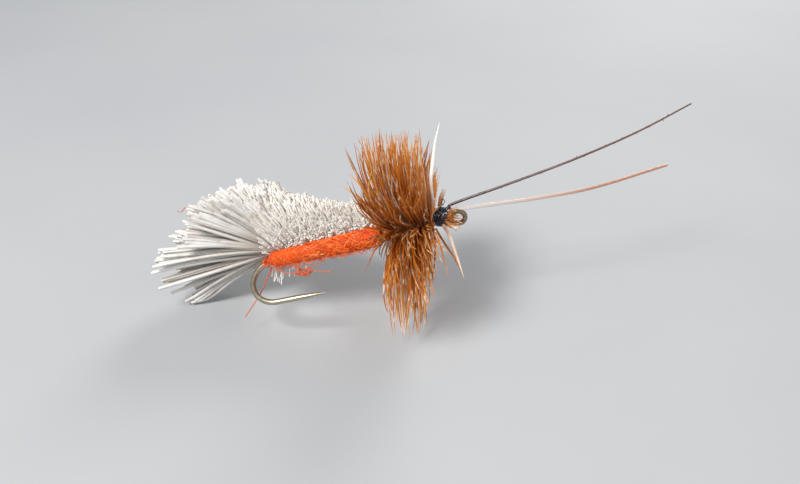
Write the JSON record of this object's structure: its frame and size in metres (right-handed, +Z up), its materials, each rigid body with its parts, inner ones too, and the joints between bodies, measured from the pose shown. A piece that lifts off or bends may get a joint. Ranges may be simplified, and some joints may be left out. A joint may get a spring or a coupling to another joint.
{
  "type": "dry fly",
  "caption": "Dry fly tied as a clipped-hair caddis: long-shank barbless hook, spun hair body and tail fan, dubbed belly rope, wound hackle and stripped-quill antennae.",
  "frame": {"origin": "centre of the whole fly's box, on the surface that it rests on", "axes": "+Z up from the resting surface; +X level, towards the hook eye and the antennae; -Y the side that the belly is turned to"},
  "size_m": [0.0442, 0.0176, 0.0184],
  "materials": {
    "hook_wire": "satin bronzed wire",
    "clipped_hair": "clipped hollow hair, off-white with taupe shading",
    "tail_hair": "long hollow hair, off-white with taupe shading",
    "orange_dubbing": "fuzzy spun dubbing with a faint sparkle",
    "orange_thread": "fine waxed thread",
    "white_thread": "fine waxed thread",
    "black_thread": "fine waxed thread under clear varnish",
    "ginger_hackle": "glossy cock hackle barbs",
    "ginger_quill": "feather stem, a natural keratin",
    "white_quill": "bare feather stem, a natural keratin",
    "pale_quill": "stripped feather quill, a natural keratin",
    "dark_quill": "stripped feather quill, a natural keratin",
    "head_varnish": "hardened glossy varnish"
  },
  "bodies": {
    "root": {"hook": "hook_wire", "thread_underbody": "orange_thread", "cinch_band_1": "white_thread", "cinch_band_2": "white_thread", "cinch_band_3": "white_thread", "cinch_band_4": "white_thread", "cinch_band_5": "white_thread", "hair_bunch_1": "clipped_hair", "hair_bunch_2": "clipped_hair", "hair_bunch_3": "clipped_hair", "hair_bunch_4": "clipped_hair", "hair_bunch_5": "clipped_hair", "tail_fan": "tail_hair", "belly_rope": "orange_dubbing", "rope_core_thread": "orange_thread", "rear_tie_knot": "orange_thread", "rope_tie_down": "orange_thread", "hackle_feather_rear": "ginger_hackle", "hackle_feather_front": "ginger_hackle", "feather_stem_tip": "white_quill", "hackle_butt_top": "ginger_quill", "hackle_butt_under": "ginger_quill", "antenna_port": "pale_quill", "antenna_starboard": "dark_quill", "head_thread": "black_thread", "head_cement": "head_varnish", "thread_tangle": "orange_thread", "thread_whisker": "orange_thread", "tail_thread_curl": "orange_thread"}
  },
  "joints": []
}
